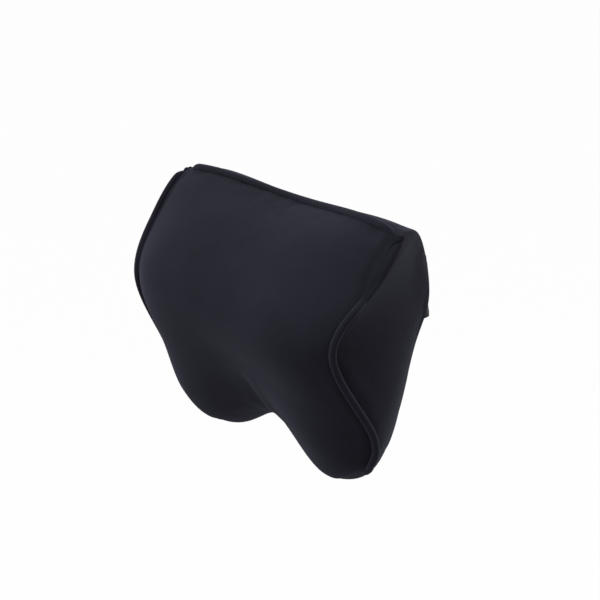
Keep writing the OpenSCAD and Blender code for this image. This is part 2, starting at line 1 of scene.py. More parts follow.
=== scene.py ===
"""Looks of the strap-on headrest pillow: padded cover, piping, zipper, webbing and buckle.

Shapes are worked out in millimetres from the pillow's outline and become meshes in metres.
+X right, -Y front, +Z up, as in the CAD model.
"""
import math

import bpy
import numpy as np
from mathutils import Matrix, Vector

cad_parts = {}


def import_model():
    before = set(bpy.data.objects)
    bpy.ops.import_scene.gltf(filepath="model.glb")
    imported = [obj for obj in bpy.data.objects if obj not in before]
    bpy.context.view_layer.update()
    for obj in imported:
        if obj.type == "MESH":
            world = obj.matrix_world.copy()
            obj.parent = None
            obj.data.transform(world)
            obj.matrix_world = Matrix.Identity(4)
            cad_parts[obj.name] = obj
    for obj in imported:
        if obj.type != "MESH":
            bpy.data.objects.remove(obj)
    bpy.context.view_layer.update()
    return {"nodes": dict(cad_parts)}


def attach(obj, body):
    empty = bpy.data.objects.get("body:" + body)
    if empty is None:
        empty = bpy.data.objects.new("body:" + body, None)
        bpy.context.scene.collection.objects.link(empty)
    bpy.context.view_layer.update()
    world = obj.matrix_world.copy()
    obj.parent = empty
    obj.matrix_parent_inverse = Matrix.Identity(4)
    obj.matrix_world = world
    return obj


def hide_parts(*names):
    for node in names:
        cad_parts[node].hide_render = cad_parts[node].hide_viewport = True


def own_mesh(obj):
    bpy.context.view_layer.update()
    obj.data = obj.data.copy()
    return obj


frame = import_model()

NODE = frame["nodes"]
MM = 0.001

# ---- Outline of the pillow, repeated from the CAD model ----

# Read round a lengthwise slice: top seam, front crown above, front crown, waist above, waist
# below, bottom seam, back foot, zipper, back crown, back shoulder. SIDE points are [half
# width, y, z], the others are [y, z].
SIDE = np.array([[146, -58, 58], [149, -91, 22], [138, -120, -29], [147, -84, -103], [135, -77, -136],
                 [113, -70, -148], [117, -42, -130], [120, -19, -50], [124, -7, -5], [129, -23, 49]], float)
LOBE = np.array([[-57, 63], [-100, 35], [-142, -22], [-118, -86], [-102, -128],
                 [-78, -158], [-37, -158], [-19, -50], [-5, -7], [-24, 49]], float)
MIDDLE = np.array([[-47, 57], [-102, 33], [-141, -24], [-117, -74], [-99, -100],
                   [-72, -133], [-39, -129], [-19, -50], [-5, -16], [-22, 42]], float)
TOP, BOTTOM, ZIP = 0, 5, 7
LOBE_Q = 0.36
SIDE_BULGE = 5
HEM = 0.077
# Rows of the grids are found by their place round the outline to within this much
ROW_TOLERANCE = 0.001

# ---- Sampling of the cover, denser beside the seams ----


def steps(breaks, cells):
    """Values that run through breaks, with cells[i] equal steps between breaks i and i + 1."""
    runs = [np.linspace(a, b, n, endpoint=False) for a, b, n in zip(breaks, breaks[1:], cells)]
    return np.append(np.concatenate(runs), breaks[-1])


ACROSS = steps([-1, -0.97, -0.88, 0.88, 0.97, 1], [4, 5, 44, 5, 4])
OPPOSITE_ZIP = 2 * BOTTOM - ZIP
DOWN_FRONT = steps([TOP, 0.12, 0.4, 2, OPPOSITE_ZIP - HEM, OPPOSITE_ZIP + HEM, 4, 4.85, BOTTOM],
                   [3, 4, 20, 12, 2, 9, 6, 3])
UP_BACK = 2 * BOTTOM - DOWN_FRONT[::-1]
CROSS = steps([0, 0.05, 0.15, 0.85, 0.95, 1], [4, 3, 12, 2, 3])


def knots(s, depth=0.0):
    """The outline points at the share s of the half width, depth mm inside the surface."""
    q = s * s
    yz = (MIDDLE * (q - LOBE_Q) * (q - 1) / LOBE_Q
          + LOBE * q * (q - 1) / (LOBE_Q * (LOBE_Q - 1))
          + SIDE[:, 1:] * q * (q - LOBE_Q) / (1 - LOBE_Q))
    run = np.roll(yz, -1, axis=0) - np.roll(yz, 1, axis=0)
    inward = np.column_stack([-run[:, 1], run[:, 0]]) / np.linalg.norm(run, axis=1)[:, None]
    return np.column_stack([s * (SIDE[:, 0] - depth), yz + depth * inward])


def on_loop(points, u):
    """Smooth closed curve through points, at the positions u."""
    u = np.atleast_1d(np.asarray(u, float))
    k = np.floor(u).astype(int)
    t = (u - k)[:, None]
    a, b, c, d = (points[(k + i) % len(points)] for i in (-1, 0, 1, 2))
    return b + 0.5 * t * (c - a + t * (2 * a - 5 * b + 4 * c - d + t * (3 * (b - c) + d - a)))


def skin(across, around, depth=0.0):
    """Grid of points on the front or back of the pillow."""
    return np.array([on_loop(knots(s, depth), around) for s in across])


def gusset(sign, down, cross, depth=0.0):
    """Grid of points on a side panel, from the front seam to the back seam."""
    side = knots(1.0, depth)
    front, back = on_loop(side, down), on_loop(side, 2 * BOTTOM - down)
    width = np.linalg.norm(back - front, axis=1)[:, None]
    g = cross[None, :]
    grid = front[:, None, :] + (back - front)[:, None, :] * g[:, :, None]
    grid[:, :, 0] += SIDE_BULGE * np.minimum(1, width / 60) * 4 * g * (1 - g)
    return grid * [sign, 1, 1]


def side_out(u, sign):
    """Unit vectors that point out of the pillow on a side seam, between its two panels."""
    side = knots(1.0)
    run = on_loop(side, u + 0.05) - on_loop(side, u - 0.05)
    run /= np.linalg.norm(run[:, 1:], axis=1)[:, None]
    return np.column_stack([np.full(len(u), sign), run[:, 2], -run[:, 1]]) / math.sqrt(2)


def unit(v):
    return v / np.maximum(np.linalg.norm(v, axis=-1, keepdims=True), 1e-9)


def smooth(t):
    t = np.clip(t, 0, 1)
    return t * t * (3 - 2 * t)


def arc(points):
    """Length along a line of points, from its first."""
    return np.concatenate([[0], np.cumsum(np.linalg.norm(np.diff(points, axis=0), axis=1))])


def grid_lengths(grid):
    """Length along each row of a grid of points, and down each of its columns."""
    return np.array([arc(row) for row in grid]), np.array([arc(grid[:, j]) for j in range(grid.shape[1])]).T


# ---- Seams ----

PIPING_R = 3.2
PIPING_OUT = 2.56
TOP_OUT = unit(np.array([0, -0.2, 1.0]))
# How deep the seams draw the cover in (or, below 0, how far they push it out), how far from the seam
# that reaches, and how fast it fades. The piped side seams differ: left is -1, right is 1.
PIPED_PULL, PLAIN_PULL, TOP_PULL = {-1: -1.8, 1: 0.6}, -1.0, -0.5
PULL_REACH, PULL_FADE = 6.0, 2.5
# On the right, the cover folds in over the upper end of the side cord
FOLD_DEPTH = 6.0
FOLD_FRONT_REACH, FOLD_SIDE_REACH = 20.0, 12.0
FOLD_ENDS = (0.0, 0.3, 0.85, 1.45)
FOLD_FORWARD = -0.25


def fold_over(u, sign):
    """1 where the side cord lies buried in the fold below the right top corner, 0 elsewhere."""
    if sign < 0:
        return np.zeros_like(u)
    start, full, fading, end = FOLD_ENDS
    inside = smooth((u - start) / (full - start)) * (1 - smooth((u - fading) / (end - fading)))
    return np.where(u <= BOTTOM, inside, 0)


def side_pull(u, sign, fold_reach):
    """How a side seam draws the cover in at u round the outline: direction out, depth and reach."""
    fold = fold_over(u, sign)
    piped = PIPED_PULL[sign]
    depth = np.where(u <= BOTTOM, piped, PLAIN_PULL) + (FOLD_DEPTH - piped) * fold
    out = unit(side_out(u, sign) * (1 - fold)[:, None] + fold[:, None] * [sign, FOLD_FORWARD, 0])
    return out, depth, PULL_REACH + (fold_reach - PULL_REACH) * fold


def drawn_in(grid, seams):
    """Moves the points of a grid in towards the seams. A seam is (distance of every point from it, its
    outward direction, depth, reach), broadcast over the grid."""
    moved = grid.copy()
    for distance, out, depth, reach in seams:
        fade = np.exp(-np.square(distance / reach) * PULL_FADE)
        moved = moved - (depth * fade)[:, :, None] * out
    return moved


# Above the arch, the right lobe stands over the left one along a soft fold. Each pair is where a change
# starts and how long it takes, round the outline for the ends and across it for the step.
CREASE_H = 2.0
CREASE_OUT = unit(np.array([0, -0.9, -0.44]))
CREASE_AT, CREASE_TURN = 0.03, 0.05
CREASE_TOP, CREASE_FOOT = (3.1, 0.9), (4.45, 0.4)
CREASE_STEP, CREASE_WIDTH = (-0.025, 0.045), 0.12
HOLLOW_AT, HOLLOW_WIDTH, HOLLOW_SHARE = -0.06, 0.07, 0.6


def crease(across, around):
    """How far the front panel stands out on the right of the fold above the arch, and sinks on its left."""
    down, end = (smooth((around - start) / length) for start, length in (CREASE_TOP, CREASE_FOOT))
    past = across[:, None] - CREASE_AT - CREASE_TURN * (1 - down)
    right = smooth((past - CREASE_STEP[0]) / CREASE_STEP[1]) * np.exp(-np.square(past / CREASE_WIDTH))
    left = HOLLOW_SHARE * np.exp(-np.square((past - HOLLOW_AT) / HOLLOW_WIDTH))
    return CREASE_H * down * (1 - end) * (right - left)


def panel_grids(depth=0.0, front_reach=FOLD_FRONT_REACH):
    """The panels of a layer as cut, and with their seams drawn in, as grids that share border points."""
    cut, drawn = {}, {}
    for name, around in (("front", DOWN_FRONT), ("back", UP_BACK)):
        grid = skin(ACROSS, around, depth)
        along, across = grid_lengths(grid)
        from_top = along if name == "front" else along[:, -1:] - along
        seams = [(from_top, TOP_OUT, TOP_PULL, PULL_REACH)]
        for sign, distance in ((-1, across), (1, across[-1:] - across)):
            out, pull, reach = side_pull(around, sign, front_reach)
            seams.append((distance, out[None], pull[None], reach[None]))
        cut[name], drawn[name] = grid, drawn_in(grid, seams)
    drawn["front"] += crease(ACROSS, DOWN_FRONT)[:, :, None] * CREASE_OUT
    for sign, name in ((-1, "left"), (1, "right")):
        grid = gusset(sign, DOWN_FRONT, CROSS, depth)
        along, _ = grid_lengths(grid)
        seams = []
        for u, distance in ((DOWN_FRONT, along), (2 * BOTTOM - DOWN_FRONT, along[:, -1:] - along)):
            out, pull, reach = side_pull(u, sign, FOLD_SIDE_REACH)
            seams.append((distance, out[:, None], pull[:, None], reach[:, None]))
        cut[name], drawn[name] = grid, drawn_in(grid, seams)
    return cut, drawn


def quads(n, m, flip=False):
    """Faces of a grid of n rows of m points."""
    i, j = np.meshgrid(np.arange(n - 1), np.arange(m - 1), indexing="ij")
    a = (i * m + j).ravel()
    faces = np.column_stack([a, a + 1, a + m + 1, a + m])
    return faces[:, ::-1] if flip else faces


def welded(points, faces):
    """Joins points that coincide, and drops what collapses to less than a triangle."""
    _, first, place = np.unique(np.round(points, 3), axis=0, return_index=True, return_inverse=True)
    place = place.ravel()
    kept = []
    for face in faces:
        corners = list(dict.fromkeys(int(place[k]) for k in face))
        if len(corners) > 2:
            kept.append(corners)
    return points[first], kept, place, first


def mesh_object(name, points, faces, material=None, cloth=None):
    """A smooth-shaded object from points in millimetres. cloth gives each point's place on the flat
    cloth, as across and along in millimetres, for the weave."""
    mesh = bpy.data.meshes.new(name)
    mesh.from_pydata((np.asarray(points, float) * MM).tolist(), [], [list(map(int, f)) for f in faces])
    mesh.polygons.foreach_set("use_smooth", [True] * len(mesh.polygons))
    if cloth is not None:
        places = np.zeros((len(points), 3))
        places[:, :2] = np.asarray(cloth) * MM
        mesh.attributes.new("cloth", "FLOAT_VECTOR", "POINT").data.foreach_set("vector", places.ravel())
    obj = bpy.data.objects.new(name, mesh)
    bpy.context.scene.collection.objects.link(obj)
    if material:
        mesh.materials.append(material)
    return obj


FLIPPED = {"front": False, "back": False, "left": False, "right": True}


def cover_body(grids):
    """Every panel in one closed mesh: its points and faces, and where each grid's points went."""
    points, faces, start = [], [], 0
    for name, grid in grids.items():
        n, m = grid.shape[:2]
        points.append(grid.reshape(-1, 3))
        faces.append(quads(n, m, FLIPPED[name]) + start)
        start += n * m
    points, faces, place, _ = welded(np.concatenate(points), np.concatenate(faces))
    where, start = {}, 0
    for name, grid in grids.items():
        size = grid.shape[0] * grid.shape[1]
        where[name] = place[start:start + size].reshape(grid.shape[:2])
        start += size
    return points, faces, where


def gathered(grids, where, count):
    """Points of the closed mesh, taken from another set of grids of the same shape."""
    points = np.zeros((count, 3))
    for name, grid in grids.items():
        points[where[name]] = grid
    return points


# ---- Cloth simulation of the cover ----

SIM_FRAMES = 20
SIM_PRESSURE = 4.0
SIM_FULLNESS = -0.003
SIM_QUALITY = 6
SIM_MASS, SIM_STRETCH, SIM_SHEAR, SIM_BENDING = 0.3, 15, 5, 1.0
# How far a point may move, beyond what its seam drew it in
SIM_CAP = 2.5
# The foam holds the cover this firmly, away from the seams
FOAM_HOLD = 0.45
FOAM_HOLD_REACH = 35.0


def seam_distance(cut, where, count):
    """How far each point of the cover is from the nearest seam."""
    distance = np.full(count, 1e9)
    for name, grid in cut.items():
        along, across = grid_lengths(grid)
        near = np.minimum(along, along[:, -1:] - along)
        if name in ("front", "back"):
            near = np.minimum(near, np.minimum(across, across[-1:] - across))
        distance[where[name]] = np.minimum(distance[where[name]], near)
    return distance


def swell(start, rest, faces, where, distance):
    """Inflates the cover, cut to the rest points, with its seams and its zipper held."""
    hold = FOAM_HOLD * smooth(distance / FOAM_HOLD_REACH)
    hold[distance < 1e-6] = 1
    beside_zip = np.abs(UP_BACK - ZIP) < HEM + ROW_TOLERANCE
    hold[where["back"][:, beside_zip]] = 1
    pillow = mesh_object("cover_simulation", start, faces)
    pillow.shape_key_add(name="drawn")
    cut = pillow.shape_key_add(name="cut")
    cut.data.foreach_set("co", (rest * MM).ravel())
    seams = pillow.vertex_groups.new(name="seams")
    for k, weight in enumerate(hold):
        seams.add([k], float(weight), "REPLACE")
    cloth = pillow.modifiers.new("cloth", "CLOTH")
    settings = cloth.settings
    settings.quality = SIM_QUALITY
    settings.mass = SIM_MASS
    settings.tension_stiffness = settings.compression_stiffness = SIM_STRETCH
    settings.shear_stiffness = SIM_SHEAR
    settings.bending_stiffness = SIM_BENDING
    settings.use_pressure = True
    settings.uniform_pressure_force = SIM_PRESSURE
    settings.shrink_min = SIM_FULLNESS
    settings.rest_shape_key = cut
    settings.vertex_group_mass = "seams"
    settings.effector_weights.gravity = 0
    cloth.collision_settings.use_collision = False
    cloth.point_cache.frame_start = 1
    cloth.point_cache.frame_end = SIM_FRAMES
    scene = bpy.context.scene
    for number in range(1, SIM_FRAMES + 1):
        scene.frame_set(number)
    solved = pillow.evaluated_get(bpy.context.evaluated_depsgraph_get())
    found = np.empty(len(start) * 3)
    solved.data.vertices.foreach_get("co", found)
    scene.frame_set(1)
    bpy.data.objects.remove(pillow)
    move = found.reshape(-1, 3) / MM - start
    far = np.linalg.norm(move, axis=1, keepdims=True)
    cap = SIM_CAP + np.linalg.norm(rest - start, axis=1, keepdims=True)
    return start + move * np.minimum(1, cap / np.maximum(far, 1e-9))


# ---- Material helpers ----


def node_material(name):
    material = bpy.data.materials.new(name)
    material.use_nodes = True
    return material, material.node_tree, material.node_tree.nodes["Principled BSDF"]


def add(tree, kind, inputs=(), **settings):
    """Adds a node, sets its properties, and links or sets its inputs."""
    node = tree.nodes.new(kind)
    for key, value in settings.items():
        setattr(node, key, value)
    for key, value in dict(inputs).items():
        if isinstance(value, bpy.types.NodeSocket):
            tree.links.new(value, node.inputs[key])
        else:
            node.inputs[key].default_value = value
    return node


def coordinates(tree, scale=(1, 1, 1)):
    """Positions in metres in the row frame, stretched."""
    place = add(tree, "ShaderNodeTexCoord").outputs["Object"]
    return add(tree, "ShaderNodeMapping", {"Vector": place, "Scale": scale}).outputs["Vector"]


def cloth_place(tree):
    """Where a point lies on the flat cloth: across and along, in metres."""
    place = add(tree, "ShaderNodeAttribute", attribute_name="cloth").outputs["Vector"]
    split = add(tree, "ShaderNodeSeparateXYZ", {"Vector": place})
    return split.outputs["X"], split.outputs["Y"]


def noise(tree, vector, scale, detail=2.0, roughness=0.5):
    inputs = {"Vector": vector, "Scale": scale, "Detail": detail, "Roughness": roughness}
    return add(tree, "ShaderNodeTexNoise", inputs).outputs["Fac"]


def blend_colors(tree, factor, a, b):
    ramp = add(tree, "ShaderNodeValToRGB", {"Fac": factor})
    ramp.color_ramp.elements[0].color = (*a, 1)
    ramp.color_ramp.elements[1].color = (*b, 1)
    return ramp.outputs["Color"]


def spread(tree, value, low, high, to_low=0.0, to_high=1.0):
    inputs = {"Value": value, "From Min": low, "From Max": high, "To Min": to_low, "To Max": to_high}
    return add(tree, "ShaderNodeMapRange", inputs).outputs["Result"]


def calc(tree, operation, a, b=0.0):
    return add(tree, "ShaderNodeMath", {0: a, 1: b}, operation=operation).outputs["Value"]


def mix(tree, share, a, b):
    """a and b blended, share of b."""
    return calc(tree, "ADD", calc(tree, "MULTIPLY", a, 1 - share), calc(tree, "MULTIPLY", b, share))


def ridges(tree, value, pitch):
    """Round-topped ridges across a distance in metres, from 0 to 1."""
    return calc(tree, "ABSOLUTE", calc(tree, "SINE", calc(tree, "MULTIPLY", value, math.pi / pitch)))


def bump(tree, height, distance, strength=1.0, normal=None):
    inputs = {"Height": height, "Distance": distance, "Strength": strength}
    if normal is not None:
        inputs["Normal"] = normal
    return add(tree, "ShaderNodeBump", inputs).outputs["Normal"]


def finish_shader(shader, specular=0.3, sheen=0.0, sheen_roughness=0.5, tint=(1, 1, 1), coat=0.0):
    shader.inputs["Specular IOR Level"].default_value = specular
    shader.inputs["Sheen Weight"].default_value = sheen
    shader.inputs["Sheen Roughness"].default_value = sheen_roughness
    shader.inputs["Sheen Tint"].default_value = (*tint, 1)
    shader.inputs["Coat Weight"].default_value = coat
    shader.inputs["Coat Roughness"].default_value = 0.3


# ---- Materials ----


def cover_fabric(name, dark, light, sheen):
    """Soft brushed jersey: fine knit columns under a short nap, faint brushed patches, a soft edge."""
    material, tree, shader = node_material(name)
    here = coordinates(tree)
    across, along = cloth_place(tree)
    wales = ridges(tree, across, 0.0011)
    rows = ridges(tree, calc(tree, "ADD", along, calc(tree, "MULTIPLY", wales, 0.0003)), 0.0008)
    knit = mix(tree, 0.4, wales, rows)
    nap = noise(tree, coordinates(tree, (1, 1, 0.5)), 1400, 3, 0.6)
    patches = noise(tree, here, 20, 3, 0.55)
    fleck = mix(tree, 0.45, mix(tree, 0.25, nap, knit), patches)
    tree.links.new(blend_colors(tree, spread(tree, fleck, 0.36, 0.64), dark, light),
                   shader.inputs["Base Color"])
    tree.links.new(spread(tree, nap, 0.3, 0.7, 0.82, 0.96), shader.inputs["Roughness"])
    structure = bump(tree, knit, 0.00014, 0.5)
    fuzz = bump(tree, nap, 0.0003, 0.45, structure)
    tree.links.new(bump(tree, noise(tree, here, 170, 2), 0.0006, 0.2, fuzz), shader.inputs["Normal"])
    finish_shader(shader, 0.15, sheen, 0.5, (0.5, 0.5, 0.75))
    return material


def webbing_fabric():
    """Woven elastic: ribs that run along it, crossed by rows of weft."""
    material, tree, shader = node_material("elastic_webbing")
    across, along = cloth_place(tree)
    ribs = ridges(tree, across, 0.00125)
    side = calc(tree, "FLOOR", calc(tree, "DIVIDE", across, 0.00125))
    shift = calc(tree, "MULTIPLY", calc(tree, "PINGPONG", side, 1.0), 0.0007)
    weft = ridges(tree, calc(tree, "ADD", along, shift), 0.0014)
    weave = calc(tree, "MULTIPLY", spread(tree, ribs, 0, 0.7), mix(tree, 0.6, 1.0, weft))
    fibre = noise(tree, coordinates(tree), 2600, 2, 0.6)
    color = blend_colors(tree, mix(tree, 0.3, weave, fibre), (0.0035, 0.0035, 0.0045), (0.015, 0.015, 0.018))
    tree.links.new(color, shader.inputs["Base Color"])
    tree.links.new(spread(tree, weave, 0, 1, 0.85, 0.6), shader.inputs["Roughness"])
    threads = bump(tree, weave, 0.0003, 0.8)
    tree.links.new(bump(tree, fibre, 0.0001, 0.4, threads), shader.inputs["Normal"])
    finish_shader(shader, 0.3, 0.15, 0.4)
    return material


def tape_fabric():
    """Woven zipper tape with a fine herringbone."""
    material, tree, shader = node_material("zipper_tape")
    across, along = cloth_place(tree)
    zigzag = calc(tree, "PINGPONG", along, 0.0016)
    twill = ridges(tree, calc(tree, "ADD", across, zigzag), 0.0006)
    fibre = noise(tree, coordinates(tree), 3000, 2, 0.6)
    color = blend_colors(tree, mix(tree, 0.3, twill, fibre), (0.004, 0.004, 0.005), (0.014, 0.014, 0.018))
    tree.links.new(color, shader.inputs["Base Color"])
    tree.links.new(bump(tree, fibre, 0.0001, 0.4, bump(tree, twill, 0.00015, 0.7)), shader.inputs["Normal"])
    tree.links.new(spread(tree, fibre, 0.3, 0.7, 0.7, 0.9), shader.inputs["Roughness"])
    finish_shader(shader, 0.3, 0.1, 0.4)
    return material


def thread_material():
    """Twisted polyester thread."""
    material, tree, shader = node_material("sewing_thread")
    here = add(tree, "ShaderNodeSeparateXYZ", {"Vector": coordinates(tree)})
    ply = ridges(tree, calc(tree, "ADD", here.outputs["X"], here.outputs["Z"]), 0.0004)
    tree.links.new(blend_colors(tree, ply, (0.008, 0.008, 0.012), (0.03, 0.03, 0.042)),
                   shader.inputs["Base Color"])
    tree.links.new(bump(tree, ply, 0.0001, 0.6), shader.inputs["Normal"])
    tree.links.new(spread(tree, ply, 0, 1, 0.6, 0.4), shader.inputs["Roughness"])
    finish_shader(shader, 0.4)
    return material


def moulded(name, dark, light, rough, grain_depth, coat=0.0):
    """Moulded or coated hard part: spark-eroded grain, faint scuffs, paler rubbed patches."""
    material, tree, shader = node_material(name)
    here = coordinates(tree)
    grain = noise(tree, here, 2200, 3, 0.6)
    cloudy = noise(tree, here, 60, 3, 0.55)
    scuffs = spread(tree, noise(tree, coordinates(tree, (1, 1, 6)), 160, 4, 0.7), 0.58, 0.72)
    color = blend_colors(tree, mix(tree, 0.35, cloudy, scuffs), dark, light)
    tree.links.new(color, shader.inputs["Base Color"])
    worn = calc(tree, "ADD", spread(tree, cloudy, 0.3, 0.7, rough - 0.06, rough + 0.06),
                calc(tree, "MULTIPLY", scuffs, 0.12))
    tree.links.new(worn, shader.inputs["Roughness"])
    tree.links.new(bump(tree, grain, grain_depth, 0.6), shader.inputs["Normal"])
    finish_shader(shader, 0.5, coat=coat)
    return material


def liner_knit():
    """Thin undyed tricot."""
    material, tree, shader = node_material("liner_knit")
    across, along = cloth_place(tree)
    wales, rows = ridges(tree, across, 0.0009), ridges(tree, along, 0.0007)
    mesh = calc(tree, "MULTIPLY", wales, rows)
    fibre = noise(tree, coordinates(tree), 1800, 2, 0.6)
    color = blend_colors(tree, mix(tree, 0.35, mesh, fibre), (0.5, 0.5, 0.47), (0.8, 0.8, 0.77))
    tree.links.new(color, shader.inputs["Base Color"])
    tree.links.new(bump(tree, mesh, 0.0002, 0.7), shader.inputs["Normal"])
    tree.links.new(spread(tree, fibre, 0.3, 0.7, 0.8, 0.95), shader.inputs["Roughness"])
    finish_shader(shader, 0.25, 0.2)
    return material


def open_foam():
    """Moulded memory foam with its fine open cells."""
    material, tree, shader = node_material("memory_foam")
    cells = add(tree, "ShaderNodeTexVoronoi", {"Vector": coordinates(tree), "Scale": 900}).outputs["Distance"]
    cloudy = noise(tree, coordinates(tree), 30, 3)
    color = blend_colors(tree, mix(tree, 0.5, spread(tree, cells, 0, 0.7), cloudy),
                         (0.66, 0.6, 0.42), (0.87, 0.82, 0.64))
    tree.links.new(color, shader.inputs["Base Color"])
    tree.links.new(bump(tree, cells, 0.0005, 0.7), shader.inputs["Normal"])
    tree.links.new(spread(tree, cloudy, 0.3, 0.7, 0.85, 0.98), shader.inputs["Roughness"])
    finish_shader(shader, 0.2)
    return material


def label_satin():
    """White satin ribbon with fine floats."""
    material, tree, shader = node_material("label_satin")
    across, along = cloth_place(tree)
    floats = ridges(tree, across, 0.0003)
    fibre = noise(tree, coordinates(tree), 1500, 2)
    tree.links.new(blend_colors(tree, mix(tree, 0.4, floats, fibre), (0.62, 0.62, 0.61), (0.84, 0.84, 0.83)),
                   shader.inputs["Base Color"])
    weft = ridges(tree, along, 0.0005)
    tree.links.new(bump(tree, mix(tree, 0.5, floats, weft), 0.00005, 0.5), shader.inputs["Normal"])
    tree.links.new(spread(tree, fibre, 0.3, 0.7, 0.35, 0.5), shader.inputs["Roughness"])
    finish_shader(shader, 0.5, 0.1)
    return material


COVER_DARK, COVER_LIGHT = (0.0054, 0.0053, 0.0098), (0.0108, 0.0106, 0.0180)
FABRIC = cover_fabric("cover_jersey", COVER_DARK, COVER_LIGHT, 0.12)
CORD_FABRIC = cover_fabric("piping_jersey", COVER_DARK, COVER_LIGHT, 0.15)
WEBBING = webbing_fabric()
TAPE = tape_fabric()
THREAD = thread_material()
BUCKLE = moulded("buckle_plastic", (0.009, 0.009, 0.0105), (0.02, 0.02, 0.023), 0.42, 0.00006)
TEETH = moulded("zipper_plastic", (0.008, 0.008, 0.010), (0.018, 0.018, 0.022), 0.32, 0.00003)
METAL = moulded("slider_lacquer", (0.012, 0.012, 0.014), (0.035, 0.035, 0.038), 0.34, 0.00004, coat=0.4)
LINER = liner_knit()
FOAM = open_foam()
SATIN = label_satin()

# ---- Pieces ----


def piece(obj, body, slot, *nodes):
    """Attaches a piece to the body it moves with and hides the CAD nodes it stands for. Its material slot is
    not used.
    """
    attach(obj, body)
    if nodes:
        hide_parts(*nodes)
    return obj


def soften(obj, levels=1):
    soft = obj.modifiers.new("soft", "SUBSURF")
    soft.levels = soft.render_levels = levels


def thicken(obj, thickness, crease=0.7):
    """Gives a sheet its thickness, inwards."""
    thick = obj.modifiers.new("thickness", "SOLIDIFY")
    thick.thickness = thickness * MM
    thick.offset = -1
    thick.edge_crease_outer = crease


def sewn_panel(name, grid, flip, material, thickness):
    """One sewn panel of cloth, with thickness, from a grid of points."""
    n, m = grid.shape[:2]
    points, faces, _, first = welded(grid.reshape(-1, 3), quads(n, m, flip))
    along, across = grid_lengths(grid)
    cloth = np.stack([across, along], axis=-1).reshape(-1, 2)[first]
    obj = mesh_object(name, points, faces, material, cloth)
    thicken(obj, thickness)
    soften(obj)
    return obj


# ---- Cover, liner and foam ----

COVER_T = 1.6
LINER_T = 0.6
LINER_DEPTH = 4.6
FOAM_DEPTH = 6.5
PANELS = {"front": ("cover_front", "front_panel"), "left": ("cover_side_left", "side_panel_left"),
          "right": ("cover_side_right", "side_panel_right")}
LINERS = {"front": ("liner_front_knit", "liner_front"), "back": ("liner_back_knit", "liner_back"),
          "left": ("liner_left_knit", "liner_side_left"), "right": ("liner_right_knit", "liner_side_right")}


def cover_panel(name, grid, side, node):
    obj = sewn_panel(name, grid, FLIPPED[side], FABRIC, COVER_T)
    piece(obj, "pillow", "cover_fabric", node)


cut, drawn = panel_grids()
points, faces, where = cover_body(drawn)
rest = gathered(cut, where, len(points))
points = swell(points, rest, faces, where, seam_distance(cut, where, len(points)))
grids = {name: points[place] for name, place in where.items()}
lower = UP_BACK <= ZIP - HEM + ROW_TOLERANCE
upper = UP_BACK >= ZIP + HEM - ROW_TOLERANCE
for side, (name, node) in PANELS.items():
    cover_panel(name, grids[side], side, node)
cover_panel("cover_back_lower", grids["back"][:, lower], "back", "back_panel_lower")
cover_panel("cover_back_upper", grids["back"][:, upper], "back", "back_panel_upper")

_, inner = panel_grids(LINER_DEPTH, FOLD_SIDE_REACH)
for side, (name, node) in LINERS.items():
    obj = sewn_panel(name, inner[side], FLIPPED[side], LINER, LINER_T)
    piece(obj, "pillow", "liner_knit", node)

_, core = panel_grids(FOAM_DEPTH, FOLD_SIDE_REACH)
points, faces, _ = cover_body(core)
foam = mesh_object("foam_block", points, faces, FOAM)
soften(foam)
piece(foam, "pillow", "foam", "foam_core")

# ---- Piping ----

CORD_SIDES = 20
CORD_STEP = 2.0
# The flange reaches in by this share of the cord's radius, and is this narrow
FLANGE, FLANGE_COS = 1.0, 0.82


def even(points, spacing):
    """Points at an even spacing along a line, with whatever other columns they carry."""
    at = arc(points[:, :3])
    wanted = np.linspace(0, at[-1], max(2, int(round(at[-1] / spacing)) + 1))
    return np.column_stack([np.interp(wanted, at, points[:, k]) for k in range(points.shape[1])])


def cord_mesh(name, line, out, radius, material):
    """A covered cord along a line, with its flange turned in towards the seam it is sewn into."""
    run = unit(np.gradient(line, axis=0))
    a = unit(out - run * np.sum(out * run, axis=1, keepdims=True))
    b = np.cross(run, a)
    turn = 2 * math.pi * np.arange(CORD_SIDES) / CORD_SIDES
    flange = 1 + FLANGE * np.clip((-np.cos(turn) - FLANGE_COS) / (1 - FLANGE_COS), 0, 1) ** 2
    ring = a[:, None] * np.cos(turn)[None, :, None] + b[:, None] * np.sin(turn)[None, :, None]
    rings = line[:, None] + radius[:, None, None] * flange[None, :, None] * ring
    n, m = len(line), CORD_SIDES
    faces = [(i * m + j, i * m + (j + 1) % m, (i + 1) * m + (j + 1) % m, (i + 1) * m + j)
             for i in range(n - 1) for j in range(m)]
    faces += [tuple(range(m))[::-1], tuple((n - 1) * m + j for j in range(m))]
    around = np.minimum(turn, 2 * math.pi - turn) * PIPING_R
    cloth = np.stack(np.broadcast_arrays(around[None, :], arc(line)[:, None]), axis=-1).reshape(-1, 2)
    return mesh_object(name, rings.reshape(-1, 3), faces, material, cloth)


def tips(count, radius, reach=3):
    """Radius along a cord whose ends are rounded over a few points."""
    from_end = np.minimum(np.arange(count), np.arange(count)[::-1])
    return radius * np.sqrt(np.clip(1 - np.square(1 - np.minimum(from_end, reach) / reach), 0.04, 1))


# Where the side cords come out at the head, on the left at the corner and on the right below the
# fold, and where they dive at the foot
CORD_HEAD = {-1: (0.0, 0.3), 1: (1.05, 1.5)}
HEAD_DIVE_DEPTH = 7.0
FOOT_DIVE, CORD_FOOT, FOOT_DIVE_DEPTH = 4.25, 4.66, 8.0
# The top cord dives round both corners
TOP_DIVE, TOP_CORD_END, TOP_DIVE_DEPTH = 0.87, 0.995, 6.5
TOP_CORD_OUT = 2.0
SIDE_SAMPLES, TOP_SAMPLES = 600, 400


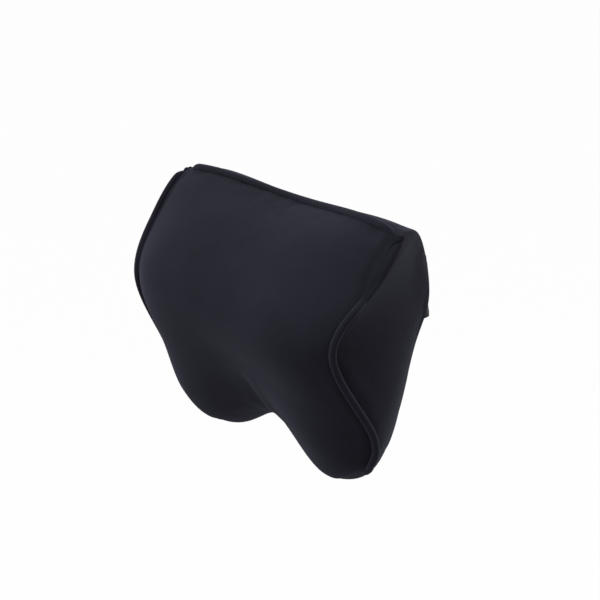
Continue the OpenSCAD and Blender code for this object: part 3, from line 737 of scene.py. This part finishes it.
def side_cord(name, sign, node):
    head, risen = CORD_HEAD[sign]
    u = np.linspace(head, CORD_FOOT, SIDE_SAMPLES)
    pull_out, pull, _ = side_pull(u, sign, FOLD_FRONT_REACH)
    out = side_out(u, sign)
    sink = (FOOT_DIVE_DEPTH * smooth((u - FOOT_DIVE) / (CORD_FOOT - FOOT_DIVE))
            + HEAD_DIVE_DEPTH * (1 - smooth((u - head) / (risen - head))))
    line = on_loop(knots(1.0), u) * [sign, 1, 1] - (pull - PIPED_PULL[sign])[:, None] * pull_out
    line += (PIPING_OUT - sink)[:, None] * out
    both = even(np.column_stack([line, out]), CORD_STEP)
    obj = cord_mesh(name, both[:, :3], unit(both[:, 3:]), tips(len(both), PIPING_R), CORD_FABRIC)
    piece(obj, "pillow", "piping_fabric", node)


def top_cord(name, node):
    s = np.linspace(-TOP_CORD_END, TOP_CORD_END, TOP_SAMPLES)
    sink = TOP_DIVE_DEPTH * smooth((np.abs(s) - TOP_DIVE) / (TOP_CORD_END - TOP_DIVE))
    line = np.array([on_loop(knots(v), TOP)[0] for v in s]) + (TOP_CORD_OUT - sink)[:, None] * TOP_OUT
    line = even(line, CORD_STEP)
    out = np.tile(TOP_OUT, (len(line), 1))
    obj = cord_mesh(name, line, out, tips(len(line), PIPING_R), CORD_FABRIC)
    piece(obj, "pillow", "piping_fabric", node)


side_cord("piping_cord_left", -1, "piping_left")
side_cord("piping_cord_right", 1, "piping_right")
top_cord("piping_cord_top", "piping_top")

# ---- Zipper: tapes, and the hard parts' looks ----

ZIP_RUN = 65.0
TAPE_DEPTH = 2.15
TAPE_T = 0.5
TAPE_IN, TAPE_OUT = 0.8, 11.0
TAPE_END = 0.975
BEAD_W, BEAD_H = 1.1, 0.45


def tape(name, sign, node):
    """One half of the tape: a thin woven strip with a beaded edge beside the teeth."""
    w = steps([TAPE_IN, TAPE_IN + BEAD_W, TAPE_OUT], [5, 12])
    across = ACROSS * TAPE_END
    bead = BEAD_H * np.sqrt(np.clip(1 - np.square((w - TAPE_IN) / BEAD_W * 2 - 1), 0, 1))
    grid = skin(across, ZIP + sign * w / ZIP_RUN, TAPE_DEPTH)
    grid[:, :, 1] += bead[None, :]
    obj = sewn_panel(name, grid, sign < 0, TAPE, TAPE_T)
    piece(obj, "pillow", "zipper_tape", node)


tape("tape_upper", 1, "zipper_tape_upper")
tape("tape_lower", -1, "zipper_tape_lower")

HARD_PARTS = {
    "zipper_teeth_upper": (TEETH, 0.35), "zipper_teeth_lower": (TEETH, 0.35),
    "zipper_end_stops": (TEETH, 0.4),
    "zipper_slider": (METAL, 0.28), "zipper_pull": (METAL, 0.3),
    "strap_adjuster": (BUCKLE, 0.6), "buckle_socket": (BUCKLE, 0.5), "buckle_plug": (BUCKLE, 0.5),
    "latch_arm_upper": (BUCKLE, 0.3), "latch_arm_lower": (BUCKLE, 0.3),
}
BEVEL_ANGLE = math.radians(30)
WELD_MM = 0.01
for name, (material, radius) in HARD_PARTS.items():
    part = NODE[name]
    part.data.materials.clear()
    part.data.materials.append(material)
    joined = part.modifiers.new("joined", "WELD")
    joined.merge_threshold = WELD_MM * MM
    edges = part.modifiers.new("edges", "BEVEL")
    edges.width = radius * MM
    edges.segments = 2
    edges.limit_method = "ANGLE"
    edges.angle_limit = BEVEL_ANGLE
    edges.harden_normals = False

# ---- Straps ----

STRAP_W, STRAP_T = 50.0, 1.2
STRAP_Y, BAR_Y = 11.8, 9.5
TURN_R = STRAP_Y - BAR_Y
RETURN_Y = BAR_Y - TURN_R
# Centre line of the webbing from the back seam to its straight run, seen from above
STRAIGHT_X = 84
STRAP_BEND = np.array([[123.8, -6.2], [121, -3.2], [116.5, -0.2], [110, 4], [101, 8.6], [92, 11.2],
                       [STRAIGHT_X, STRAP_Y]])
BEND_SAMPLES = 30
SEAM_LOW, BACK_KNOT, SEAM_HIGH = 7.55, 8, 8.42
# How many of its first steps follow the curved seam, at the strap's lower and upper edge
ROOT_STEPS = np.array([1.5, 8])
# The strap hides behind the pillow except at its lower corner. TUCKED is the way in at each point of
# the bend. The others are how far in at the lower edge and above, and the share of the strap's width
# over which it changes.
TUCKED = np.array([0.5, 1, 0.8, 0.4, 0, 0, 0])[:, None] * [-0.62, -0.6]
TUCK_LOW, TUCK_HIGH, TUCK_SHARE = -1.0, 2.0, 0.5
SOCKET_BAR_X, PLUG_BAR_X = -40.0, 27.0
LOOP_END, CUT_GAP = 52.0, 0.3
WRAP_X, WRAP_R, WRAP_Y = -76.0, 1.5, 8.7
RETURN_END, SPLICE_GAP = -66.0, 0.15
RIB_PITCH, RIB_H = 2.5, 0.09
SELVEDGE = 0.6
WEB_HEIGHTS = steps([-STRAP_W / 2, SELVEDGE - STRAP_W / 2, STRAP_W / 2 - SELVEDGE, STRAP_W / 2], [4, 118, 4])
# The sewn-down end of the right strap, after its turn round the buckle's bar: x and how far it has
# risen to the strap, then x where it lies flat, and its gap to the strap
TAIL_BEND = [(31, 0.4), (37, 2.45)]
TAIL_FLAT, TAIL_GAP = (40, 45.5, LOOP_END - 1), 0.15
# How far the end of the left strap runs on past its turn round the adjuster's bar
WRAP_TAIL = (2.5, 5)


def through(points, count):
    """Smooth open curve through points, in count points."""
    points = np.asarray(points, float)
    ends = [2 * points[0] - points[1]], [2 * points[-1] - points[-2]]
    points = np.concatenate([ends[0], points, ends[1]])
    t = np.linspace(0, len(points) - 3, count)
    k = np.minimum(t.astype(int), len(points) - 4)
    t = (t - k)[:, None]
    a, b, c, d = (points[k + i] for i in range(4))
    return b + 0.5 * t * (c - a + t * (2 * a - 5 * b + 4 * c - d + t * (3 * (b - c) + d - a)))


def straight(a, b, spacing=4.0):
    """Points from a up to b, without b."""
    count = max(1, int(round(math.dist(a, b) / spacing)))
    return np.linspace(a, b, count, endpoint=False)


def half_turn(x, y, radius, side, count=12):
    """Half a circle about a bar, from its back to its front, on one side of it."""
    a = np.radians(np.linspace(90, -90, count))
    return np.column_stack([x + side * radius * np.cos(a), y + radius * np.sin(a)])


def root(z):
    """The right strap's centre line at height z, from its curved seam to its straight run."""
    side = knots(1.0)
    share = z / STRAP_W + 0.5
    u = SEAM_LOW + share * (SEAM_HIGH - SEAM_LOW)
    off = (on_loop(side, u)[0] - on_loop(side, BACK_KNOT)[0])[:2]
    fade = np.maximum(0, 1 - np.arange(len(STRAP_BEND)) / (ROOT_STEPS @ [1 - share, share]))
    fade[-1] = 0
    tuck = TUCK_LOW + (TUCK_HIGH - TUCK_LOW) * float(smooth(share / TUCK_SHARE))
    return through(STRAP_BEND + fade[:, None] * off + tuck * TUCKED, BEND_SAMPLES)


def webbing(name, line_at, body, *nodes):
    """A woven band. line_at gives its centre line, seen from above, at a height z."""
    z = WEB_HEIGHTS
    middle = np.array([np.insert(line_at(h), 2, h, axis=1) for h in z])
    run = unit(np.gradient(middle[:, :, :2], axis=1))
    normal = np.stack([-run[:, :, 1], run[:, :, 0], np.zeros(run.shape[:2])], axis=-1)
    from_edge = np.clip((STRAP_W / 2 - np.abs(z)) / (STRAP_T / 2), 0, 1)
    half = STRAP_T / 2 * np.sqrt(np.clip(1 - np.square(1 - from_edge), 0.05, 1))
    half -= RIB_H * from_edge * (0.5 + 0.5 * np.cos(2 * math.pi * z / RIB_PITCH))
    offset = half[:, None, None] * normal
    rings = np.concatenate([middle + offset, (middle - offset)[::-1]])
    m, n = rings.shape[:2]
    k = len(z)
    faces = [(i * n + j, ((i + 1) % m) * n + j, ((i + 1) % m) * n + j + 1, i * n + j + 1)
             for i in range(m) for j in range(n - 1)]
    for j, turned in ((0, 1), (n - 1, -1)):
        faces += [((i + 1) * n + j, i * n + j, (m - 1 - i) * n + j, (m - 2 - i) * n + j)[::turned]
                  for i in range(k - 1)]
    along = arc(middle[k // 2])
    cloth = np.stack(np.broadcast_arrays(np.concatenate([z, z[::-1]])[:, None], along[None, :]), axis=-1)
    obj = mesh_object(name, rings.reshape(-1, 3), faces, WEBBING, cloth.reshape(-1, 2))
    return piece(obj, body, "elastic_webbing", *nodes)


def left_line(z):
    turn = half_turn(SOCKET_BAR_X, BAR_Y, TURN_R, 1)
    return np.concatenate([root(z)[:-1] * [-1, 1], straight((-STRAIGHT_X, STRAP_Y), turn[0]), turn])


def right_line(z):
    end = (LOOP_END + CUT_GAP, STRAP_Y)
    return np.concatenate([root(z)[:-1], straight((STRAIGHT_X, STRAP_Y), end), [end]])


def loop_line(z):
    turn = half_turn(PLUG_BAR_X, BAR_Y, TURN_R, -1)
    sewn_y = STRAP_Y - STRAP_T - TAIL_GAP
    tail = [turn[-1], *((x, RETURN_Y + rise) for x, rise in TAIL_BEND), *((x, sewn_y) for x in TAIL_FLAT)]
    return np.concatenate([straight((LOOP_END, STRAP_Y), turn[0]), turn[:-1], through(tail, 20)])


def return_line(z):
    a, b = (SOCKET_BAR_X - CUT_GAP, RETURN_Y), (RETURN_END + SPLICE_GAP, RETURN_Y)
    return np.concatenate([straight(a, b), [b]])


def wrap_line(z):
    turn = half_turn(WRAP_X, WRAP_Y, WRAP_R, -1)[::-1]
    return np.concatenate([straight((RETURN_END, RETURN_Y), turn[0], 2.5), turn,
                           [(WRAP_X + x, WRAP_Y + WRAP_R) for x in WRAP_TAIL]])


webbing("webbing_left", left_line, "pillow", "strap_left")
inner_layer = webbing("webbing_return", return_line, "pillow", "strap_left_return")
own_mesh(inner_layer)
webbing("webbing_wrap", wrap_line, "adjuster", "strap_left_return")
elastic = webbing("webbing_right", right_line, "pillow", "strap_right")
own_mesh(elastic)
webbing("webbing_loop", loop_line, "plug", "strap_right_loop")

# ---- Stitches ----

STITCH, STITCH_GAP = 2.6, 0.7
STITCH_SIDES = 6
# Share along a stitch, its height as a share of the thread's radius, and its thickness
STITCH_PROFILE = np.array([[0, -1.2, 0.55], [0.14, -0.1, 0.95], [0.38, 0.45, 1], [0.62, 0.45, 1],
                           [0.86, -0.1, 0.95], [1, -1.2, 0.55]])


def stitches(name, starts, ends, normals, radius, body, slot):
    """Short runs of thread that dip into the cloth at both ends, all in one mesh."""
    run, up = unit(ends - starts), unit(normals)
    side = np.cross(up, run)
    share, rise, thick = STITCH_PROFILE.T
    centre = (starts[:, None] + (ends - starts)[:, None] * share[None, :, None]
              + up[:, None] * (rise * radius)[None, :, None])
    turn = 2 * math.pi * np.arange(STITCH_SIDES) / STITCH_SIDES
    ring = side[:, None] * np.cos(turn)[None, :, None] + up[:, None] * np.sin(turn)[None, :, None]
    points = centre[:, :, None] + ring[:, None] * (radius * thick)[None, :, None, None]
    n, m = len(share), STITCH_SIDES
    one = [(i * m + j, i * m + (j + 1) % m, (i + 1) * m + (j + 1) % m, (i + 1) * m + j)
           for i in range(n - 1) for j in range(m)]
    one += [tuple(range(m))[::-1], tuple((n - 1) * m + j for j in range(m))]
    faces = [tuple(k + first for k in face) for first in range(0, len(starts) * n * m, n * m) for face in one]
    piece(mesh_object(name, points.reshape(-1, 3), faces, THREAD), body, slot)


def seam_run(line, normals):
    """Starts, ends and normals of the stitches along a line."""
    at = arc(line)
    first = np.arange(STITCH_GAP, at[-1] - STITCH - STITCH_GAP, STITCH + STITCH_GAP)

    def read(values, where_to):
        return np.column_stack([np.interp(where_to, at, values[:, k]) for k in range(3)])
    return read(line, first), read(line, first + STITCH), read(normals, first + STITCH / 2)


HEM_STITCH = 2.4
THREAD_R = 0.28
HEM_STITCH_END = 0.97


def hem_row(sign):
    """The row of stitches beside one edge of the zipper, on the finished cover."""
    u = ZIP + sign * (HEM + HEM_STITCH / ZIP_RUN)
    grid = grids["back"]
    column = np.interp(u, UP_BACK, np.arange(len(UP_BACK)))
    k = int(column)
    line = grid[:, k] + (column - k) * (grid[:, k + 1] - grid[:, k])
    kept = np.abs(ACROSS) < HEM_STITCH_END
    normals = unit(np.cross(np.gradient(grid[:, k], axis=0), grid[:, k + 1] - grid[:, k]))
    normals *= np.sign(normals[:, 1:2])
    return seam_run(line[kept], normals[kept])


for label, sign in (("upper", 1), ("lower", -1)):
    stitches(f"hem_stitches_{label}", *hem_row(sign), THREAD_R, "pillow", "cover_fabric")


def box_stitch(x0, x1, half, y):
    """A sewn box with a cross in it, on the outer face of the strap."""
    corners = [(x0, -half), (x1, -half), (x1, half), (x0, half), (x0, -half), (x1, half), (x0, half),
               (x1, -half)]
    runs = []
    for (ax, az), (bx, bz) in zip(corners, corners[1:]):
        line = even(np.array([[ax, y, az], [bx, y, bz]], float), 1.0)
        runs.append(seam_run(line, np.tile([0.0, 1.0, 0.0], (len(line), 1))))
    return [np.concatenate(part) for part in zip(*runs)]


STRAP_FACE = STRAP_Y + STRAP_T / 2
BOX_FROM, BOX_TO, BOX_HALF = 33.5, 49.5, 21.0
loop_box = box_stitch(BOX_FROM, BOX_TO, BOX_HALF, STRAP_FACE)
stitches("loop_stitches", *loop_box, THREAD_R, "plug", "elastic_webbing")

# ---- Care label ----

LABEL_ROOT = np.array([-120.6, -24.4])
LABEL_LONG, LABEL_TALL, LABEL_T = 20.0, 30.0, 0.3
LABEL_TURN = math.radians(125)
LABEL_LOW = -96.0
LABEL_CURL = 1.6


def care_label():
    """A blank satin strip, sewn in by one end, that curls a little."""
    out = np.array([math.cos(LABEL_TURN), math.sin(LABEL_TURN)])
    side = np.array([-out[1], out[0]])
    along, tall = np.linspace(0, LABEL_LONG, 21), np.linspace(0, LABEL_TALL, 31)
    grid = np.zeros((len(tall), len(along), 3))
    share = along / LABEL_LONG
    for i, h in enumerate(tall):
        bend = LABEL_CURL * share ** 2 * (0.6 + 0.4 * math.sin(3 * h / LABEL_TALL))
        grid[i, :, :2] = LABEL_ROOT + along[:, None] * out + bend[:, None] * side
        grid[i, :, 2] = LABEL_LOW + h
    obj = sewn_panel("label_strip", grid, True, SATIN, LABEL_T)
    piece(obj, "pillow", "label_satin", "care_label")


care_label()

# ---- Light, floor and camera ----

FLOOR_Z = -0.62
FLOOR_HALF = 14.0
FLOOR_GLOW = 0.97


def floor():
    """Plain pale floor, evenly lit, that throws no light up at the object."""
    corners = [(-FLOOR_HALF, -FLOOR_HALF), (FLOOR_HALF, -FLOOR_HALF), (FLOOR_HALF, FLOOR_HALF),
               (-FLOOR_HALF, FLOOR_HALF)]
    mesh = bpy.data.meshes.new("floor")
    mesh.from_pydata([(x, y, FLOOR_Z) for x, y in corners], [], [(0, 1, 2, 3)])
    obj = bpy.data.objects.new("floor", mesh)
    bpy.context.scene.collection.objects.link(obj)
    material, tree, shader = node_material("floor_white")
    shader.inputs["Base Color"].default_value = (0.02, 0.02, 0.02, 1)
    shader.inputs["Roughness"].default_value = 1
    shader.inputs["Specular IOR Level"].default_value = 0
    shader.inputs["Emission Color"].default_value = (1, 1, 1, 1)
    shader.inputs["Emission Strength"].default_value = FLOOR_GLOW
    mesh.materials.append(material)
    obj.visible_diffuse = False
    obj.visible_glossy = False


def area_light(name, place, size, power):
    data = bpy.data.lights.new(name, "AREA")
    data.shape = "DISK"
    data.size = size
    data.energy = power
    obj = bpy.data.objects.new(name, data)
    obj.location = place
    obj.rotation_euler = (TARGET - Vector(place)).to_track_quat("-Z", "Y").to_euler()
    bpy.context.scene.collection.objects.link(obj)


AZIMUTH, ELEVATION = math.radians(52.0), math.radians(18.58)
DISTANCE = 1.5
TARGET = Vector((0, -0.052, -0.050))
LENS = 102.89
SENSOR = 36
SHIFT = (0.0115, 0.0333)


def camera():
    data = bpy.data.cameras.new("camera")
    data.lens = LENS
    data.sensor_width = SENSOR
    data.shift_x, data.shift_y = SHIFT
    obj = bpy.data.objects.new("camera", data)
    back = Vector((math.sin(AZIMUTH) * math.cos(ELEVATION), -math.cos(AZIMUTH) * math.cos(ELEVATION),
                   math.sin(ELEVATION)))
    obj.location = TARGET + back * DISTANCE
    obj.rotation_euler = (-back).to_track_quat("-Z", "Y").to_euler()
    bpy.context.scene.collection.objects.link(obj)
    bpy.context.scene.camera = obj


# Brightness of the studio below, at and above the horizon
WORLD_BELOW, WORLD_LEVEL, WORLD_ABOVE = 0.27, 0.54, 0.8
# How much dimmer it is to the right, and how much brighter to the front
WORLD_RIGHT, WORLD_FRONT = 0.08, 0.18


def world():
    """A studio that is bright overhead, dim below and a little brighter to the front."""
    made = bpy.data.worlds.new("studio")
    made.use_nodes = True
    tree = made.node_tree
    up = add(tree, "ShaderNodeSeparateXYZ", {"Vector": add(tree, "ShaderNodeTexCoord").outputs["Generated"]})
    ramp = add(tree, "ShaderNodeValToRGB", {"Fac": spread(tree, up.outputs["Z"], -1, 1)})
    ramp.color_ramp.elements[0].color = (WORLD_BELOW, WORLD_BELOW, WORLD_BELOW, 1)
    ramp.color_ramp.elements[1].color = (WORLD_ABOVE, WORLD_ABOVE, WORLD_ABOVE, 1)
    level = ramp.color_ramp.elements.new(0.5)
    level.color = (WORLD_LEVEL, WORLD_LEVEL, WORLD_LEVEL, 1)
    aside = calc(tree, "MULTIPLY", up.outputs["X"], -WORLD_RIGHT)
    ahead = calc(tree, "MULTIPLY", up.outputs["Y"], -WORLD_FRONT)
    strength = calc(tree, "ADD", calc(tree, "ADD", aside, ahead), 1.0)
    tree.links.new(ramp.outputs["Color"], tree.nodes["Background"].inputs["Color"])
    tree.links.new(strength, tree.nodes["Background"].inputs["Strength"])
    bpy.context.scene.world = made


floor()
world()
camera()
area_light("overhead", (-0.1, -0.75, 1.4), 1.0, 13)
area_light("behind", (0.25, 1.7, -0.12), 0.8, 8)
bpy.context.scene.view_settings.view_transform = "Standard"
